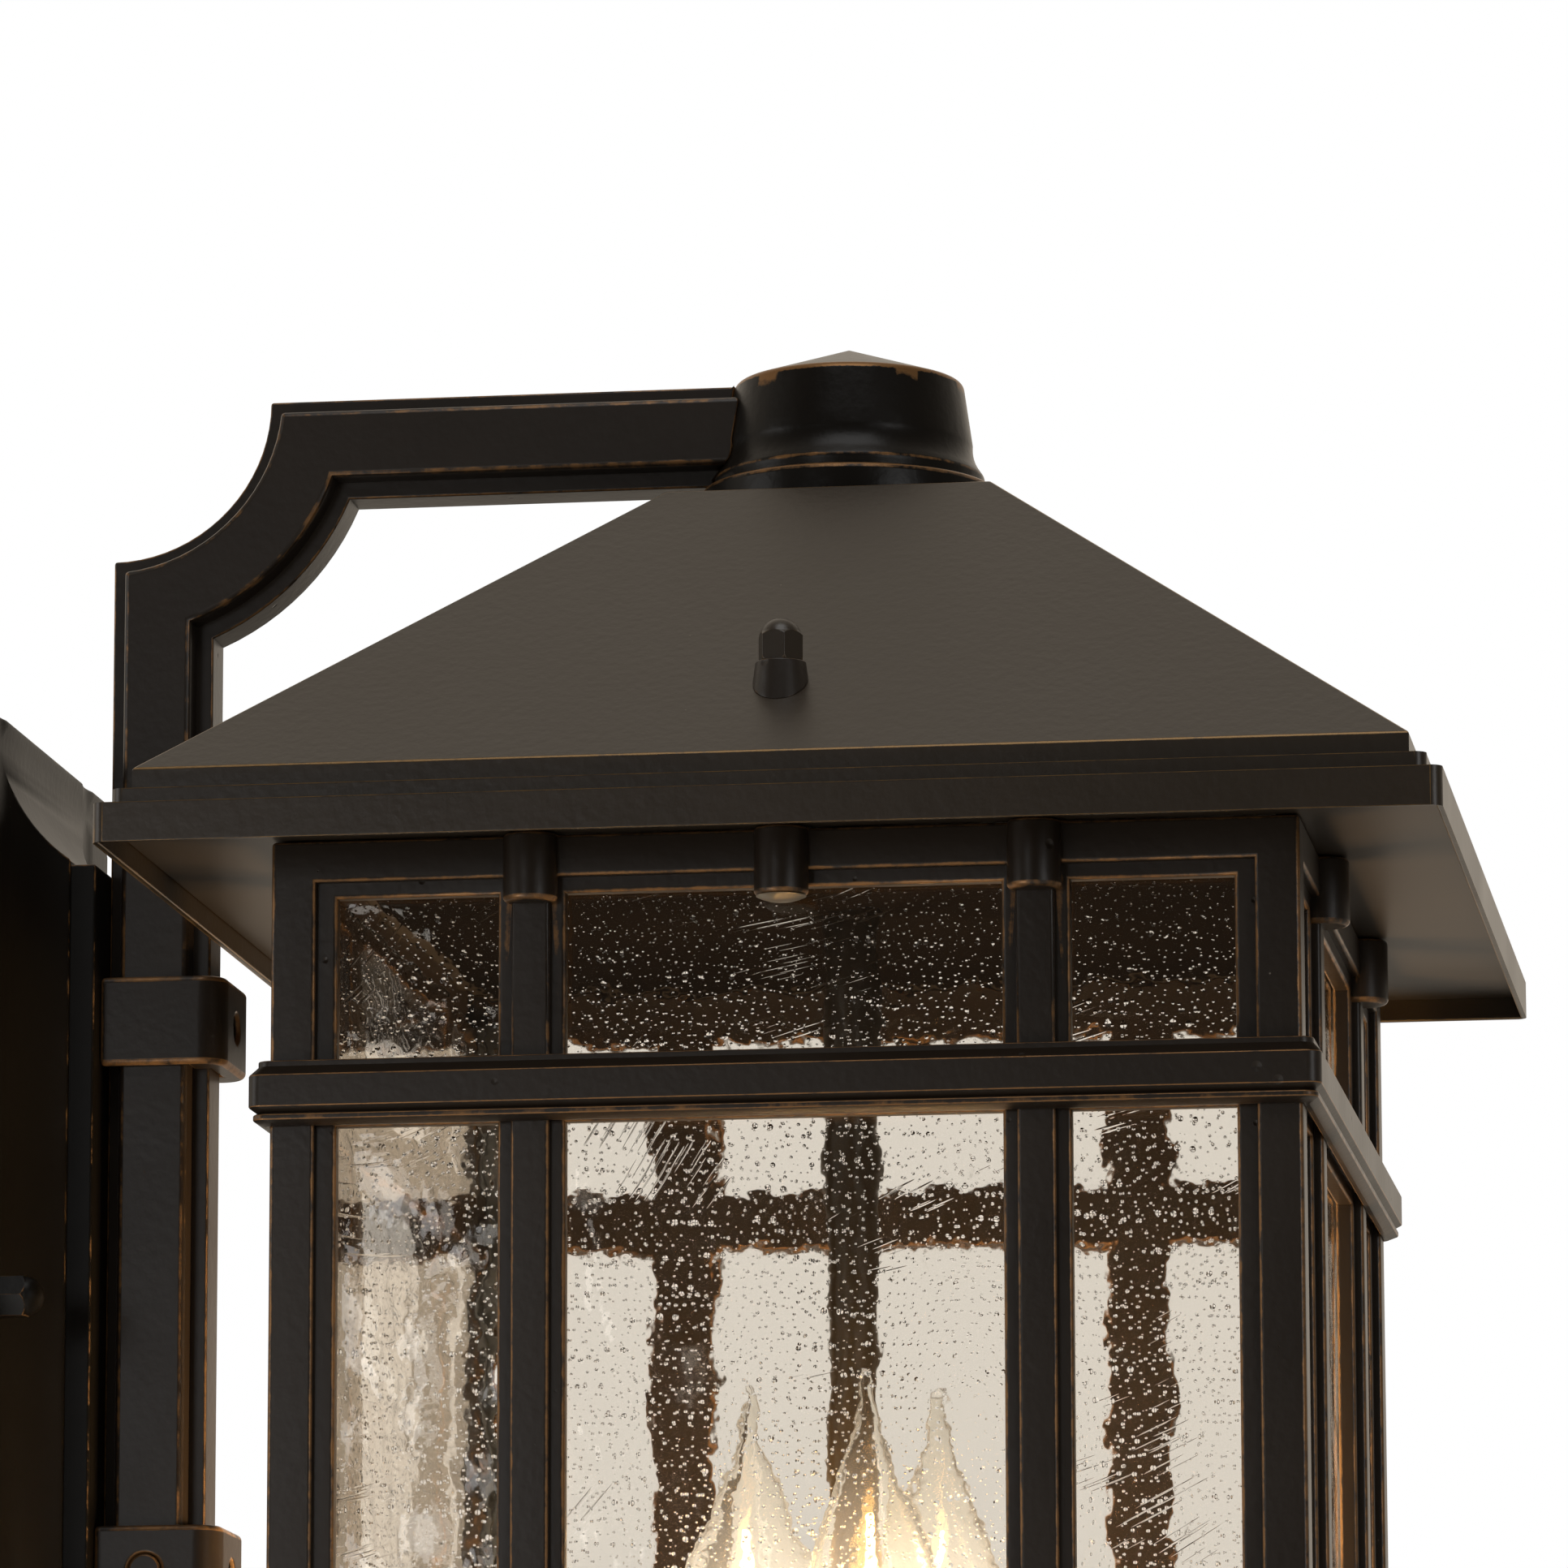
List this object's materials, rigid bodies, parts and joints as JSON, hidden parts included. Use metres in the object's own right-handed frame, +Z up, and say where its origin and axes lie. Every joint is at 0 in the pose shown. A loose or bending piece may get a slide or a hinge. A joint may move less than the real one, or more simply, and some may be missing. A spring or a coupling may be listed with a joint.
{
  "type": "outdoor wall lantern",
  "caption": "Square outdoor wall lantern in oil-rubbed bronze: pyramid roof, seeded glass cage with muntins, scooped bracket and moulded back plate.",
  "frame": {"origin": "centre of the mounting crossbar on the wall plane, at the height of the wall cap nuts", "axes": "+Y into the wall, +Z up, lantern towards -Y"},
  "size_m": [0.2794, 0.3277, 0.4826],
  "materials": {
    "cast_bronze": "cast, painted oil-rubbed bronze, satin, copper on worn edges",
    "sheet_bronze": "sheet, painted oil-rubbed bronze, satin, copper on worn edges",
    "steel": "zinc plated",
    "gasket": "matte foam",
    "seeded_glass": "seeded, with bubbles and streaks",
    "sleeve": "ivory satin",
    "socket": "glazed white",
    "lamp_glass": "clear",
    "brass": "polished",
    "filament": "glowing wire on a glass post"
  },
  "bodies": {
    "wall_unit": {"back_plate": "cast_bronze", "bracket": "cast_bronze", "upper_collar": "cast_bronze", "lower_collar": "cast_bronze", "collar_pin": "cast_bronze", "hub": "cast_bronze", "roof_shell": "sheet_bronze", "soffit_pan": "sheet_bronze", "nut_bosses": "cast_bronze", "stem": "sheet_bronze", "cluster_body": "sheet_bronze", "mounting_crossbar": "steel", "mounting_studs": "steel", "set_screws": "steel", "hub_nipple": "steel", "hub_lock_nut": "steel", "cluster_nut": "steel", "plate_gasket": "gasket", "candle_sleeve_1": "sleeve", "lamp_socket_1": "socket", "candle_sleeve_2": "sleeve", "lamp_socket_2": "socket", "candle_sleeve_3": "sleeve", "lamp_socket_3": "socket"},
    "cage": {"cage_frame_front": "cast_bronze", "cage_frame_right": "cast_bronze", "cage_frame_rear": "cast_bronze", "cage_frame_left": "cast_bronze", "mid_rail": "cast_bronze", "glass_front": "seeded_glass", "glass_right": "seeded_glass", "glass_rear": "seeded_glass", "glass_left": "seeded_glass", "corner_angles": "steel", "cage_screws": "steel", "base_tray": "sheet_bronze", "tray_screws": "steel", "base_finial": "cast_bronze"},
    "wall_nut_left_body": {"wall_nut_left": "cast_bronze"},
    "wall_nut_right_body": {"wall_nut_right": "cast_bronze"},
    "roof_nut_left_body": {"roof_nut_left": "cast_bronze"},
    "roof_nut_right_body": {"roof_nut_right": "cast_bronze"},
    "lamp_1": {"lamp_1_glass": "lamp_glass", "lamp_1_base": "brass", "lamp_1_filament": "filament"},
    "lamp_2": {"lamp_2_glass": "lamp_glass", "lamp_2_base": "brass", "lamp_2_filament": "filament"},
    "lamp_3": {"lamp_3_glass": "lamp_glass", "lamp_3_base": "brass", "lamp_3_filament": "filament"}
  },
  "joints": [
    {"name": "cage_drop", "type": "slide", "parent": "wall_unit", "child": "cage", "axis": [0, 0, -1], "range_m": [0, 0.31]},
    {"name": "wall_nut_left_turn", "type": "hinge", "parent": "wall_unit", "child": "wall_nut_left_body", "pos_m": [-0.05, -0.00825, 0], "axis": [0, -1, 0], "range_deg": [0, 2880]},
    {"name": "roof_nut_left_turn", "type": "hinge", "parent": "wall_unit", "child": "roof_nut_left_body", "pos_m": [-0.1082, -0.188, 0.1224], "axis": [0, 0, 1], "range_deg": [0, 2880]},
    {"name": "wall_nut_right_turn", "type": "hinge", "parent": "wall_unit", "child": "wall_nut_right_body", "pos_m": [0.05, -0.00825, 0], "axis": [0, -1, 0], "range_deg": [0, 2880]},
    {"name": "roof_nut_right_turn", "type": "hinge", "parent": "wall_unit", "child": "roof_nut_right_body", "pos_m": [0.1082, -0.188, 0.1224], "axis": [0, 0, 1], "range_deg": [0, 2880]},
    {"name": "lamp_1_unscrew", "type": "hinge", "parent": "wall_unit", "child": "lamp_1", "pos_m": [0.01726, -0.20467, -0.096], "axis": [0, 0, 1], "range_deg": [0, 1440]},
    {"name": "lamp_2_unscrew", "type": "hinge", "parent": "wall_unit", "child": "lamp_2", "pos_m": [-0.02307, -0.19462, -0.096], "axis": [0, 0, 1], "range_deg": [0, 1440]},
    {"name": "lamp_3_unscrew", "type": "hinge", "parent": "wall_unit", "child": "lamp_3", "pos_m": [0.00581, -0.16471, -0.096], "axis": [0, 0, 1], "range_deg": [0, 1440]}
  ]
}
